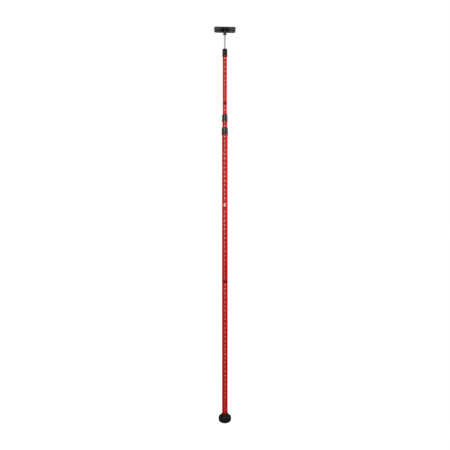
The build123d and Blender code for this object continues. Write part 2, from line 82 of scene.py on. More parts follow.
# Share of the pad's painted light that is left on its sides and top, which get painted shade as they don't
# face the floor
SIDE_LIGHT_SHARE = 0.4

# A printed digit's height as a share of its type size, how far its strokes are widened as a share of that
# height, and steps along each curve of its outline
DIGIT_HEIGHT = 0.73
BOLD = 0.032
DIGIT_STEPS = 2

# Width of the strips that bend print round a tube, and how near to a cut a point is taken to lie on it
PRINT_STRIP = 0.8 * MM
CUT_SNAP = 0.01 * MM

# Each tube with the body that it rides on, the height of its lowest printed number and how far in degrees its
# print is turned to the right of the camera
TUBES = {
    "extension_tube": ("base", 58 * MM, 2),
    "outer_tube": ("base", 670.6 * MM, -4),
    "middle_tube": ("middle", 718.4 * MM, -4),
    "upper_tube": ("upper", 749 * MM, -4),
    "head_tube": ("upper", 1483.5 * MM, -4),
}

# Each lamp with its power's name in the stage settings, its width and height, its place, from which it faces
# the pole at its own height, and whether it gives gloss alone
LAMPS = {
    "right_strip": ("right_power", (0.3, 0.8), (0.9, 0.1, 1.35), False),
    "right_gloss": ("right_gloss", (0.25, 1.15), (0.88, -0.19, 1.33), True),
    "left_strip": ("left_power", (0.3, 0.8), (-0.88, -0.2, 1.15), False),
    "fill": ("fill_power", (0.4, 0.5), (-0.4, -1.2, 1.05), False),
    "front_strip": ("front_power", (0.25, 1.75), (-0.6, -2.43, 1.55), True),
}


# Settings that a user may change

def linear(hex_colour):
    """The linear colour of an sRGB hex value."""
    shares = [int(hex_colour[i:i + 2], 16) / 255 for i in (0, 2, 4)]
    return [s / 12.92 if s <= 0.04045 else ((s + 0.055) / 1.055) ** 2.4 for s in shares]


def length(name, description, millimetres):
    """A size."""
    return FloatProperty(name=name, description=description, default=millimetres * MM, unit="LENGTH",
                         subtype="DISTANCE", precision=5)


def count(name, description, number, least, most):
    """A number of like things."""
    return IntProperty(name=name, description=description, default=number, min=least, max=most)


def colour(name, description, hex_colour):
    """A colour."""
    return FloatVectorProperty(name=name, description=description, default=linear(hex_colour), size=3, min=0,
                               max=1, subtype="COLOR")


def angle(name, description, degrees):
    """An angle."""
    return FloatProperty(name=name, description=description, default=math.radians(degrees), subtype="ANGLE")


def power(name, description, watts):
    """The power of a lamp."""
    return FloatProperty(name=name, description=description, default=watts, min=0, unit="POWER")


class RodSizes(bpy.types.PropertyGroup):
    """Sizes of the pieces that are modelled here"""

    tube_wall: length("Tube wall", "Wall of every tube", 1.2)
    edge_round: length("Edge round", "Round on the ends of tubes and bars", 0.25)
    number_height: length("Number height", "Height of a printed number", 4.4)
    number_step: length("Number step", "From one printed number to the next", 20)
    bar_width: length("Bar width", "Width of the printed bar halfway between numbers", 4.4)
    bar_height: length("Bar height", "Height of that bar", 0.75)
    metre_height: length("Metre number", "Height of the figures of the turned number at one metre", 9)
    ink_thickness: length("Ink thickness", "How far the print stands off the tube", 0.05)
    flute_depth: length("Flute depth", "Depth of the grip flutes on collars and cap", 0.4)
    flute_places: count("Flute places", "Places for grip flutes round a collar", 28, 6, 60)
    flutes_per_side: count("Flutes per side", "Grip flutes on each side of a collar", 9, 1, 30)
    round_steps: count("Round steps", "Faces round a turned piece", 96, 24, 256)


class RodColours(bpy.types.PropertyGroup):
    """Colours of the finishes"""

    red_paint: colour("Red paint", "Powder coat of the tubes", "B00C0B")
    ink: colour("Ink", "Print of the scale", "E9E6E0")
    black_plastic: colour("Black plastic", "Collars, cap and couplings", "0F0D0D")
    # The pad's ends take the paler colours below as painted light, and its middle the darker one as painted
    # shade.
    pad_plastic: colour("Charcoal plastic", "Plate of the ceiling pad, at its dusty ends", "504B4B")
    pad_shaded_middle: colour("Pad's middle", "Plate and facing of the pad, where hands keep them clean", "171616")
    rubber: colour("Rubber", "Foot", "0E0D0D")
    # Paler ends of the facing, as painted light.
    pad_rubber: colour("Charcoal rubber", "Facing of the ceiling pad, at its dusty ends", "2C2A2A")
    chrome: colour("Chrome", "Push rod", "B0B0B2")
    dark_steel: colour("Dark steel", "Ball stud", "141415")
    zinc: colour("Zinc plate", "Screw, washer, clips and pin", "B9BBBE")
    wire: colour("Spring wire", "Compression spring", "8E9093")
    nylon: colour("Grey nylon", "Twist locks", "8C8C88")
    acetal: colour("White acetal", "Bush, cup and follower", "DCDBD3")
    aluminium: colour("Bare aluminium", "Piston", "BFC0C2")
    floor: colour("Floor", "Studio floor", "F2F2F2")


class RodStage(bpy.types.PropertyGroup):
    """Camera and light"""

    camera_distance: length("Camera distance", "From the pole's axis to the camera", 1800)
    camera_height: length("Camera height", "Height of the camera over the floor", 957)
    camera_turn: angle("Camera turn", "Camera's place round the pole", -2.5)
    camera_pan: angle("Camera pan", "How far the camera looks to the left of the pole", -0.022)
    camera_dip: angle("Camera dip", "How far the camera looks down", 1.523)
    lens: FloatProperty(name="Lens", description="Focal length in millimetres", default=31.436, min=1,
                        subtype="DISTANCE_CAMERA")
    right_power: power("Right strip", "Power of the strip on the right", 17)
    right_gloss: power("Right gloss", "Power of the right strip that only gives gloss", 18)
    left_power: power("Left strip", "Power of the strip on the left", 4.5)
    fill_power: power("Fill", "Power of the soft light beside the camera", 4.6)
    front_power: power("Front strip", "Power of the front strip that only gives gloss", 145)
    sky: FloatProperty(name="Sky", description="Strength of the light from all round", default=0.63, min=0)


# Node and material helpers

def feed(tree, node, inputs):
    """Link or set a node's inputs by name or number."""
    for name, value in inputs.items():
        if isinstance(value, bpy.types.NodeSocket):
            tree.links.new(value, node.inputs[name])
        else:
            node.inputs[name].default_value = value


def add(tree, kind, inputs=None, **settings):
    """Add a node, set its options and feed its inputs."""
    node = tree.nodes.new(kind)
    for name, value in settings.items():
        setattr(node, name, value)
    feed(tree, node, inputs or {})
    return node


def per(millimetres):
    """Texture scale at which one feature is that many millimetres wide."""
    return 1 / (millimetres * MM)


def shade(tint, factor):
    """The colour made darker or lighter, with full alpha."""
    return [min(1, c * factor) for c in tint] + [1]


def new_material(name):
    """A material with its node tree, its surface shader and Object coordinates."""
    material = bpy.data.materials.new(name)
    material.use_nodes = True
    tree = material.node_tree
    surface = tree.nodes["Principled BSDF"]
    place = add(tree, "ShaderNodeTexCoord").outputs["Object"]
    return material, tree, surface, place


def powder_coat(colours):
    """Red powder coat baked on drawn aluminium: an even colour with a faint orange peel and a clear gloss."""
    material, tree, surface, place = new_material("red_powder_coat")
    # The coat's thickness, and with it the colour, drifts a little over a hand's width.
    drift = add(tree, "ShaderNodeTexNoise", {"Vector": place, "Scale": per(90), "Detail": 2.0})
    tint = add(tree, "ShaderNodeMix", {"Factor": drift.outputs["Fac"], "A": shade(colours.red_paint, 0.93),
                                       "B": shade(colours.red_paint, 1.07)}, data_type="RGBA")
    # Orange peel is about a millimetre wide and a few hundredths of one deep.
    peel = add(tree, "ShaderNodeTexNoise", {"Vector": place, "Scale": per(1.4), "Detail": 1.0})
    dust_and_light = add(tree, "ShaderNodeTexNoise", {"Vector": place, "Scale": per(12), "Detail": 4.0,
                                            "Roughness": 0.65})
    gloss = add(tree, "ShaderNodeMapRange", {"Value": dust_and_light.outputs["Fac"], "From Min": 0.3, "From Max": 0.75,
                                             "To Min": 0.26, "To Max": 0.4})
    bump = add(tree, "ShaderNodeBump", {"Height": peel.outputs["Fac"], "Strength": 0.25,
                                        "Distance": 0.03 * MM})
    feed(tree, surface, {"Base Color": tint.outputs["Result"], "Roughness": gloss.outputs["Result"],
                         "Normal": bump.outputs["Normal"], "Specular IOR Level": 0.0, "Coat Weight": 0.04,
                         "Coat Roughness": 0.34})
    return material


def screen_ink(colours):
    """White screen-print ink on the paint: a flat, slightly chalky film that is thin in places."""
    material, tree, surface, place = new_material("white_screen_ink")
    wear = add(tree, "ShaderNodeTexNoise", {"Vector": place, "Scale": per(1.1), "Detail": 3.0})
    thin = add(tree, "ShaderNodeMapRange", {"Value": wear.outputs["Fac"], "From Min": 0.62, "From Max": 0.8,
                                            "To Min": 0.0, "To Max": 0.35})
    # Below 1250 mm the ink fades into the paint, half way into it at 500 mm and below.
    height = add(tree, "ShaderNodeSeparateXYZ", {"Vector": place})
    low_fade = add(tree, "ShaderNodeMapRange", {"Value": height.outputs["Z"], "From Min": 1250 * MM,
                                              "From Max": 500 * MM, "To Min": 0.0, "To Max": 0.5})
    faded = add(tree, "ShaderNodeMath", {0: thin.outputs["Result"], 1: low_fade.outputs["Result"]},
               operation="MAXIMUM")
    tint = add(tree, "ShaderNodeMix", {"Factor": faded.outputs["Value"], "A": shade(colours.ink, 1),
                                       "B": shade(colours.red_paint, 1)}, data_type="RGBA")
    feed(tree, surface, {"Base Color": tint.outputs["Result"], "Roughness": 0.5})
    return material


def lit_ends_shaded_middle(tree, place, paler, shaded_middle, shaded_mm, lit_mm):
    """A colour socket of painted light and shade: darker in the middle, paler towards the ends along x, less
    so on faces not facing down.
    """
    parts = add(tree, "ShaderNodeSeparateXYZ", {"Vector": place})
    off = add(tree, "ShaderNodeMath", {0: parts.outputs["X"]}, operation="ABSOLUTE")
    # Painted shade on the middle round the socket, and painted light on the ends.
    lit_share = add(tree, "ShaderNodeMapRange", {"Value": off.outputs["Value"], "From Min": shaded_mm * MM,
                                            "From Max": lit_mm * MM})
    # Faces that don't face the floor keep only part of the painted light, as painted shade.
    normal = add(tree, "ShaderNodeSeparateXYZ", {"Vector": place.node.outputs["Normal"]})
    down_facing_light = add(tree, "ShaderNodeMapRange", {"Value": normal.outputs["Z"], "From Min": 0.0, "From Max": -0.7,
                                            "To Min": SIDE_LIGHT_SHARE, "To Max": 1.0})
    dust_and_light = add(tree, "ShaderNodeMath", {0: lit_share.outputs["Result"], 1: down_facing_light.outputs["Result"]},
               operation="MULTIPLY")
    return add(tree, "ShaderNodeMix", {"Factor": dust_and_light.outputs["Value"], "A": shade(shaded_middle, 1), "B": paler},
               data_type="RGBA").outputs["Result"]


def moulded_plastic(name, tint, rough, grain_mm, depth_mm, gloss_film=0.285, shaded_middle=None):
    """Injection-moulded plastic: the spark-eroded mould leaves a fine even grain that softens its gloss.

    shaded_middle gives the colour of a middle in painted shade, against ends in painted light.
    """
    material, tree, surface, place = new_material(name)
    # Real grain is about 0.1 mm wide, and is drawn coarser so that it shows.
    grain = add(tree, "ShaderNodeTexNoise", {"Vector": place, "Scale": per(grain_mm), "Detail": 2.0})
    flow = add(tree, "ShaderNodeTexNoise", {"Vector": place, "Scale": per(14), "Detail": 2.0})
    mixed = add(tree, "ShaderNodeMix", {"Factor": flow.outputs["Fac"], "A": shade(tint, 0.82),
                                        "B": shade(tint, 1.18)}, data_type="RGBA")
    gloss = add(tree, "ShaderNodeMapRange", {"Value": flow.outputs["Fac"], "From Min": 0.3, "From Max": 0.7,
                                             "To Min": rough - 0.06, "To Max": rough + 0.06})
    bump = add(tree, "ShaderNodeBump", {"Height": grain.outputs["Fac"], "Strength": 0.35,
                                        "Distance": depth_mm * MM})
    seen = mixed.outputs["Result"]
    # Painted shade on the middle and painted light on the ends.
    if shaded_middle:
        seen = lit_ends_shaded_middle(tree, place, seen, shaded_middle, shaded_mm=12, lit_mm=26)
    feed(tree, surface, {"Base Color": seen, "Roughness": gloss.outputs["Result"],
                         "Normal": bump.outputs["Normal"], "Specular IOR Level": 0.0,
                         "Coat Weight": gloss_film, "Coat Roughness": 0.26})
    return material


def moulded_rubber(name, tint, shaded_middle=None):
    """Moulded black rubber: dead matte, with a dusty bloom.

    shaded_middle gives the colour of a middle in painted shade, against ends in painted light.
    """
    material, tree, surface, place = new_material(name)
    grain = add(tree, "ShaderNodeTexNoise", {"Vector": place, "Scale": per(0.7), "Detail": 3.0})
    bloom = add(tree, "ShaderNodeTexNoise", {"Vector": place, "Scale": per(9), "Detail": 5.0,
                                             "Roughness": 0.7})
    paler = add(tree, "ShaderNodeMapRange", {"Value": bloom.outputs["Fac"], "From Min": 0.45, "From Max": 0.8,
                                             "To Min": 0.0, "To Max": 0.5})
    mixed = add(tree, "ShaderNodeMix", {"Factor": paler.outputs["Result"], "A": shade(tint, 0.9),
                                        "B": shade(tint, 2.2)}, data_type="RGBA")
    bump = add(tree, "ShaderNodeBump", {"Height": grain.outputs["Fac"], "Strength": 0.4,
                                        "Distance": 0.06 * MM})
    seen = mixed.outputs["Result"]
    # Painted shade on the middle and painted light on the ends.
    if shaded_middle:
        seen = lit_ends_shaded_middle(tree, place, seen, shaded_middle, shaded_mm=4, lit_mm=16)
    feed(tree, surface, {"Base Color": seen, "Normal": bump.outputs["Normal"], "Roughness": 0.78,
                         "Specular IOR Level": 0.0, "Coat Weight": 0.1, "Coat Roughness": 0.55})
    return material


def turned_metal(name, tint, rough, line_mm):
    """Turned or ground metal: fine rings round the axis, drawn coarser than real so that they show."""
    material, tree, surface, place = new_material(name)
    squeeze = add(tree, "ShaderNodeMapping", {"Vector": place, "Scale": (0.02, 0.02, 1)})
    rings = add(tree, "ShaderNodeTexNoise", {"Vector": squeeze.outputs["Vector"], "Scale": per(line_mm),
                                             "Detail": 3.0})
    mixed = add(tree, "ShaderNodeMix", {"Factor": rings.outputs["Fac"], "A": shade(tint, 0.9),
                                        "B": shade(tint, 1.06)}, data_type="RGBA")
    gloss = add(tree, "ShaderNodeMapRange", {"Value": rings.outputs["Fac"], "From Min": 0.3, "From Max": 0.7,
                                             "To Min": rough * 0.8, "To Max": rough * 1.25})
    bump = add(tree, "ShaderNodeBump", {"Height": rings.outputs["Fac"], "Strength": 0.15,
                                        "Distance": 0.01 * MM})
    feed(tree, surface, {"Base Color": mixed.outputs["Result"], "Roughness": gloss.outputs["Result"],
                         "Normal": bump.outputs["Normal"], "Metallic": 1.0})
    return material


def black_oxide(name, tint):
    """Turned steel with a black oxide film: near black with a dull satin gloss and faint tool rings."""
    material, tree, surface, place = new_material(name)
    squeeze = add(tree, "ShaderNodeMapping", {"Vector": place, "Scale": (0.05, 0.05, 1)})
    rings = add(tree, "ShaderNodeTexNoise", {"Vector": squeeze.outputs["Vector"], "Scale": per(0.5),
                                             "Detail": 2.0})
    mixed = add(tree, "ShaderNodeMix", {"Factor": rings.outputs["Fac"], "A": shade(tint, 0.7),
                                        "B": shade(tint, 1.4)}, data_type="RGBA")
    gloss = add(tree, "ShaderNodeMapRange", {"Value": rings.outputs["Fac"], "From Min": 0.3, "From Max": 0.7,
                                             "To Min": 0.32, "To Max": 0.5})
    feed(tree, surface, {"Base Color": mixed.outputs["Result"], "Roughness": gloss.outputs["Result"],
                         "Specular IOR Level": 0.0, "Coat Weight": 0.3, "Coat Roughness": 0.35})
    return material


def finish_for(slot):
    """The material of a slot of the record, made once."""
    scene = bpy.context.scene
    colours = scene.rod_colours
    made = {
        "red_tube": lambda: powder_coat(colours),
        "black_moulding": lambda: moulded_plastic("black_abs_moulding", colours.black_plastic, rough=0.42,
                                                  grain_mm=0.35, depth_mm=0.05),
        "foot_rubber": lambda: moulded_rubber("black_foot_rubber", colours.rubber),
        # The pad's plate and facing get painted shade on their middles and painted light on their ends.
        "pad_moulding": lambda: moulded_plastic("charcoal_abs_moulding", colours.pad_plastic, rough=0.5,
                                                grain_mm=0.35, depth_mm=0.05, gloss_film=0.16,
                                                shaded_middle=colours.pad_shaded_middle),
        "pad_rubber": lambda: moulded_rubber("charcoal_sheet_rubber", colours.pad_rubber, colours.pad_shaded_middle),
        "bright_steel": lambda: turned_metal("zinc_plated_steel", colours.zinc, rough=0.3, line_mm=0.3),
        "spring_steel": lambda: turned_metal("drawn_spring_wire", colours.wire, rough=0.32, line_mm=0.4),
        "rod_chrome": lambda: turned_metal("hard_chromed_bar", colours.chrome, rough=0.16, line_mm=0.5),
        "dark_steel": lambda: black_oxide("black_oxide_steel", colours.dark_steel),
        "lock_nylon": lambda: moulded_plastic("glass_filled_nylon", colours.nylon, rough=0.55, grain_mm=0.5,
                                              depth_mm=0.04),
        "white_acetal": lambda: moulded_plastic("turned_acetal", colours.acetal, rough=0.35, grain_mm=0.6,
                                                depth_mm=0.02),
        "piston_aluminium": lambda: turned_metal("turned_aluminium", colours.aluminium, rough=0.28,
                                                 line_mm=0.35),
    }
    key = f"finish_{slot}"
    if key not in scene:
        scene[key] = made[slot]()
    return scene[key]


# Mesh helpers

def whole(bm):
    """All points, edges and faces of a bmesh."""
    return bm.verts[:] + bm.edges[:] + bm.faces[:]


def rectangle(width, height):
    """A bmesh of one flat rectangle, centred on the origin."""
    bm = bmesh.new()
    bmesh.ops.create_grid(bm, x_segments=1, y_segments=1, size=0.5)
    bmesh.ops.scale(bm, verts=bm.verts, vec=(width, height, 1))
    return bm


def turn(bm, radians, axis="Z"):
    """Turn all of a bmesh about an axis through the origin."""
    bmesh.ops.rotate(bm, verts=bm.verts, cent=(0, 0, 0), matrix=Matrix.Rotation(radians, 3, axis))


def raise_faces(bm, faces, move):
    """Extrude faces by a move and return the moved ones."""
    edges = {edge for face in faces for edge in face.edges}
    verts = {vert for face in faces for vert in face.verts}
    made = bmesh.ops.extrude_face_region(bm, geom=[*faces, *edges, *verts])["geom"]
    bmesh.ops.translate(bm, verts=[g for g in made if isinstance(g, bmesh.types.BMVert)], vec=move)
    return [g for g in made if isinstance(g, bmesh.types.BMFace)]


def round_off(bm, geom, setback, steps, affect="VERTICES"):
    """Round off points, or edges, with a number of faces across each round."""
    bmesh.ops.bevel(bm, geom=geom, offset=setback, offset_type="OFFSET", segments=steps, profile=0.5,
                    affect=affect, material=-1)


def lathe(corners, rounds, steps, closed=True, ball=None):
    """Spin a profile of (radius, height) corners round the pole's axis, after rounding some of them.

    rounds gives the setback of the round by the corner's place in the list. ball is the radius of a ball that
    the last corner runs into.
    """
    bm = bmesh.new()
    points = [bm.verts.new((radius, 0, height)) for radius, height in corners]
    for start, end in zip(points, points[1:] + points[:1] if closed else points[1:]):
        bm.edges.new((start, end))
    if ball:
        neck, height = corners[-1]
        centre = height + math.sqrt(ball ** 2 - neck ** 2)
        arc = bmesh.ops.spin(bm, geom=[points[-1]], cent=(0, 0, centre), axis=(0, -1, 0), dvec=(0, 0, 0),
                             angle=math.pi - math.asin(neck / ball), steps=steps // 2)
        # The ball's top is put on the axis exactly, so that it closes.
        arc["geom_last"][0].co.x = 0
    for place, setback in rounds.items():
        across = LARGE_ROUND_STEPS if setback > LARGE_ROUND else SMALL_ROUND_STEPS
        round_off(bm, [points[place]], setback, across)
    bmesh.ops.spin(bm, geom=bm.verts[:] + bm.edges[:], cent=(0, 0, 0), axis=(0, 0, 1), dvec=(0, 0, 0),
                   angle=2 * math.pi, steps=steps, use_merge=True)
    # The spin leaves a ring of copies of each point that lies on the axis.
    bmesh.ops.remove_doubles(bm, verts=bm.verts, dist=WELD)
    return bm


def to_mesh(bm, name):
    """Turn a bmesh into a mesh."""
    mesh = bpy.data.meshes.new(name)
    bm.to_mesh(mesh)
    bm.free()
    return mesh


def join(target, bm):
    """Move all of one bmesh into another."""
    mesh = to_mesh(bm, "joined")
    target.from_mesh(mesh)
    bpy.data.meshes.remove(mesh)


def put_in_scene(name, data):
    """An object of that data, in the scene."""
    thing = bpy.data.objects.new(name, data)
    bpy.context.scene.collection.objects.link(thing)
    return thing


def finish_piece(bm, name, body, slot, replaced=(), material=None):
    """Turn a bmesh into a piece that rides on a body, takes a slot's finish and stands for CAD nodes."""
    bmesh.ops.recalc_face_normals(bm, faces=bm.faces)
    mesh = to_mesh(bm, name)
    mesh.shade_smooth()
    mesh.set_sharp_from_angle(angle=SHARP)
    mesh.materials.append(material or finish_for(slot))
    piece = put_in_scene(name, mesh)
    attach(piece, body)
    if replaced:
        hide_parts(*replaced)
    return piece


def flat_number(text, height, quarter_turns=0):
    """A bmesh of one flat number in a bold face, centred on the origin and turned by quarter turns."""
    curve = bpy.data.curves.new("number", "FONT")
    curve.body = text
    curve.size = height / DIGIT_HEIGHT
    curve.offset = height * BOLD
    curve.resolution_u = DIGIT_STEPS
    curve.align_x = "CENTER"
    curve.offset_y = -height / 2
    holder = bpy.data.objects.new("number", curve)
    mesh = bpy.data.meshes.new_from_object(holder)
    bm = bmesh.new()
    bm.from_mesh(mesh)
    bpy.data.objects.remove(holder)
    bpy.data.curves.remove(curve)
    bpy.data.meshes.remove(mesh)
    bmesh.ops.remove_doubles(bm, verts=bm.verts, dist=WELD)
    # The filled outline has faces of no area where its corners lie in one line.
    slivers = [face for face in bm.faces if face.calc_area() < SLIVER]
    bmesh.ops.delete(bm, geom=slivers, context="FACES")
    turn(bm, quarter_turns * math.pi / 2)
    return bm


def put_print(target, flat, thickness, radius, bearing, height):
    """Bend flat print round a tube, with x round it, y up it and z out of it, and join it to a bmesh."""
    # Upright cuts let it bend without flats.
    low = min(vert.co.x for vert in flat.verts)
    width = max(vert.co.x for vert in flat.verts) - low
    strips = max(1, math.ceil(width / PRINT_STRIP))
    for i in range(1, strips):
        bmesh.ops.bisect_plane(flat, geom=whole(flat), dist=CUT_SNAP,
                               plane_co=(low + width * i / strips, 0, 0), plane_no=(1, 0, 0))
    raise_faces(flat, flat.faces[:], (0, 0, thickness))
    for vert in flat.verts:
        around = bearing + vert.co.x / radius
        reach = radius + vert.co.z
        vert.co = Vector((reach * math.sin(around), -reach * math.cos(around), height + vert.co.y))
    join(target, flat)


# Operators, one for each piece or group of like pieces

class ROD_OT_tubes(bpy.types.Operator):
    """Make the five red tubes"""

    bl_idname = "rod.tubes"
    bl_label = "Tubes"

    def execute(self, context):
        sizes = context.scene.rod_sizes
        for node, (body, _, _) in TUBES.items():
            low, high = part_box(node)
            bore = high.x - sizes.tube_wall
            bm = lathe([(bore, low.z), (high.x, low.z), (high.x, high.z), (bore, high.z)],
                       {1: sizes.edge_round, 2: sizes.edge_round}, sizes.round_steps)
            finish_piece(bm, f"{node}_painted", body, "red_tube", [node])
        return {"FINISHED"}


class ROD_OT_scales(bpy.types.Operator):
    """Print the scale on every tube: numbers, bars halfway, and a turned number at one metre"""

    bl_idname = "rod.scales"
    bl_label = "Printed scales"

    end_margin = 4 * MM
    metre_mark = 1000 * MM
    metre_room = 15 * MM

    def execute(self, context):
        sizes = context.scene.rod_sizes
        ink = screen_ink(context.scene.rod_colours)
        for node, (body, first, aside) in TUBES.items():
            low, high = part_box(node)
            carries_metre = body == "base" and low.z < self.metre_mark < high.z
            bearing = context.scene.rod_stage.camera_turn + math.radians(aside)
            bm = bmesh.new()
            marks = 2 * int((high.z - first) / sizes.number_step) + 2
            for i in range(-1, marks):
                height = first + i * sizes.number_step / 2
                if not low.z + self.end_margin < height < high.z - self.end_margin:
                    continue
                if carries_metre and abs(height - self.metre_mark) < self.metre_room:
                    continue
                if i % 2:
                    flat = rectangle(sizes.bar_width, sizes.bar_height)
                else:
                    flat = flat_number(str(i + 2), sizes.number_height)
                put_print(bm, flat, sizes.ink_thickness, high.x, bearing, height)
            if carries_metre:
                flat = flat_number("100", sizes.metre_height, quarter_turns=1)
                put_print(bm, flat, sizes.ink_thickness, high.x, bearing, self.metre_mark)
            finish_piece(bm, f"{node}_scale", body, "red_tube", material=ink)
        return {"FINISHED"}


class ROD_OT_collars(bpy.types.Operator):
    """Make the two fluted collars and the fluted cap"""

    bl_idname = "rod.collars"
    bl_label = "Collars and cap"

    collar_wall = 1.35 * MM
    cap_wall = 1.7 * MM
    flange_height = 8 * MM
    flange_slope = 1.2 * MM
    draft = 0.2 * MM
    flute_margin = 2.5 * MM
    flute_half_width = 0.94 * MM
    flute_columns = 10
    run_out = 1.2 * MM
    run_out_steps = 4
    skin = 0.8 * MM
    top_round = 1.2 * MM
    edge_round = 0.5 * MM
    lip_gap = 0.3 * MM
    nose_height = 3 * MM
    nose_wall = 1.6 * MM
    neck_seat = 6.1 * MM
    rod_gap = 0.3 * MM

    def flute(self, bm, barrel, bottom, top, sizes):
        """Press the grip flutes into the barrel's two sides between two heights, running out at both ends."""
        pitch = 2 * math.pi / sizes.flute_places
        last = sizes.flutes_per_side // 2
        for vert in bm.verts:
            reach = math.hypot(vert.co.x, vert.co.y)
            # What lies deeper than the skin is the bore.
            if reach < barrel - self.skin or not bottom < vert.co.z < top:
                continue
            around = math.asin(vert.co.y / reach)
            place = round(around / pitch)
            off = abs(around - place * pitch) * barrel / self.flute_half_width
            if abs(place) > last or off >= 1:
                continue
            end = min(1, min(vert.co.z - bottom, top - vert.co.z) / self.run_out)
            depth = sizes.flute_depth * (1 - off * off) * math.sin(end * math.pi / 2)
            vert.co.x *= (reach - depth) / reach
            vert.co.y *= (reach - depth) / reach

    def fluted(self, context, node, tube, body, wall, top, inside):
        """A fluted barrel with a flange, pressed over a tube's top end.

        wall is the barrel's wall and top its height. inside gives the corners from there to the tube's end.
        """
        sizes = context.scene.rod_sizes
        low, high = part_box(node)
        tube_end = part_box(tube)[1]
        bore = tube_end.x + SEAT_GAP
        barrel = tube_end.x + wall
        flange_top = low.z + self.flange_height
        foot = flange_top + self.flange_slope
        flute_bottom = foot + self.flute_margin
        flute_top = top - self.flute_margin
        steps = [self.run_out * i / self.run_out_steps for i in range(self.run_out_steps + 1)]
        rows = [flute_bottom + s for s in steps] + [flute_top - s for s in reversed(steps)]
        drop = self.draft / (top - foot)
        outside = [(bore, low.z), (high.x, low.z), (high.x, flange_top), (barrel, foot)]
        outside += [(barrel - drop * (row - foot), row) for row in rows]
        corners = outside + [(barrel - self.draft, top)] + inside + [(bore, tube_end.z)]
        rounds = {1: self.edge_round, 2: self.edge_round, len(outside): self.top_round,
                  len(outside) + 1: self.edge_round}
        bm = lathe(corners, rounds, sizes.flute_places * self.flute_columns)
        self.flute(bm, barrel, flute_bottom, flute_top, sizes)
        finish_piece(bm, f"{node}_moulded", body, "black_moulding", [node])

    def execute(self, context):
        for node, tube, inner_tube, body in (("outer_collar", "outer_tube", "middle_tube", "base"),
                                             ("middle_collar", "middle_tube", "upper_tube", "middle")):
            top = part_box(node)[1].z
            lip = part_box(inner_tube)[1].x + self.lip_gap
            inside = [(lip, top), (lip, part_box(tube)[1].z)]
            self.fluted(context, node, tube, body, self.collar_wall, top, inside)

        # The cap closes with a low sloped nose round the rod, over the neck of the rod's bush.
        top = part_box("head_cap")[1].z
        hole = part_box("push_rod")[1].x + self.rod_gap
        bush_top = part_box("rod_bush")[1].z
        inside = [(hole + self.nose_wall, top), (hole, top), (hole, bush_top), (self.neck_seat, bush_top),
                  (self.neck_seat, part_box("head_tube")[1].z)]
        self.fluted(context, "head_cap", "head_tube", "upper", self.cap_wall, top - self.nose_height, inside)
        return {"FINISHED"}


class ROD_OT_couplings(bpy.types.Operator):
    """Make the two screw couplings, whose rings lie flush between the tubes"""

    bl_idname = "rod.couplings"
    bl_label = "Couplings"

    corner_round = 0.6 * MM
    extension_stud = 8 * MM
    head_stud = 4.5 * MM

    def execute(self, context):
        sizes = context.scene.rod_sizes
        # Turned black acetal is duller than the mouldings.
        acetal = moulded_plastic("black_turned_acetal", context.scene.rod_colours.black_plastic, rough=0.55,
                                 grain_mm=0.4, depth_mm=0.02, gloss_film=0.1)
        inset = sizes.tube_wall + SEAT_GAP
        outer_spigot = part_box("outer_tube")[1].x - inset
        upper_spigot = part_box("upper_tube")[1].x - inset
        # Each has a ring between two tubes, with a spigot at one end and a stud at the other.
        couplings = (
            ("extension_joint", "base", "extension_tube", "outer_tube", self.extension_stud, outer_spigot),
            ("head_joint", "upper", "upper_tube", "head_tube", upper_spigot, self.head_stud),
        )
        for node, body, below, above, lower, upper in couplings:
            low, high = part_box(node)
            ring_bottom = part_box(below)[1].z
            ring_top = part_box(above)[0].z
            corners = [(0, low.z), (lower, low.z), (lower, ring_bottom), (high.x, ring_bottom),
                       (high.x, ring_top), (upper, ring_top), (upper, high.z), (0, high.z)]
            rounds = dict.fromkeys((1, 3, 4, 6), self.corner_round)
            bm = lathe(corners, rounds, sizes.round_steps, closed=False)
            finish_piece(bm, f"{node}_turned", body, "black_moulding", [node], acetal)
        return {"FINISHED"}


class ROD_OT_foot(bpy.types.Operator):
    """Make the rubber foot: a drum with a sloped shoulder up to a thin lip, and a ringed tread"""

    bl_idname = "rod.foot"
    bl_label = "Rubber foot"

    lip_wall = 0.8 * MM
    lip_chamfer = 0.3 * MM
    shoulder_height = 34.5 * MM
    shoulder_round = 1.2 * MM
    rim_height = 20 * MM
    rim_setback = 2 * MM
    bottom_round = 8 * MM
    recess_radius = 8.5 * MM
    recess_depth = 7 * MM
    hole_radius = 3.1 * MM
    groove_count = 3
    groove_width = 1.6 * MM
    groove_depth = 1.5 * MM
    groove_round = 0.4 * MM

    def tread(self, edge):
        """Corners of the underside from the rim inwards, with its grooves."""
        spacing = (edge - self.recess_radius) / (self.groove_count + 1)
        corners = []
        for i in range(self.groove_count, 0, -1):
            middle = self.recess_radius + spacing * i
            outer = middle + self.groove_width / 2
            inner = middle - self.groove_width / 2
            corners += [(outer, 0), (outer, self.groove_depth), (inner, self.groove_depth), (inner, 0)]
        return corners

    def execute(self, context):
        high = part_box("rubber_foot")[1]
        tube_low, tube_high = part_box("extension_tube")
        socket = tube_high.x + SEAT_GAP
        lip = tube_high.x + self.lip_wall
        top = [(socket, high.z), (lip - self.lip_chamfer, high.z), (lip, high.z - self.lip_chamfer),
               (lip, self.shoulder_height), (high.x, self.rim_height), (high.x, 0)]
        tread = self.tread(high.x - self.bottom_round)
        middle = [(self.recess_radius, 0), (self.recess_radius, self.recess_depth),
                  (self.hole_radius, self.recess_depth), (self.hole_radius, tube_low.z), (socket, tube_low.z)]
        rounds = {3: self.shoulder_round, 4: self.rim_setback, 5: self.bottom_round}
        for place, (_, height) in enumerate(tread + middle[:1], len(top)):
            if height == 0:
                rounds[place] = self.groove_round
        bm = lathe(top + tread + middle, rounds, context.scene.rod_sizes.round_steps)
        finish_piece(bm, "rubber_foot_moulded", "base", "foot_rubber", ["rubber_foot"])
        return {"FINISHED"}


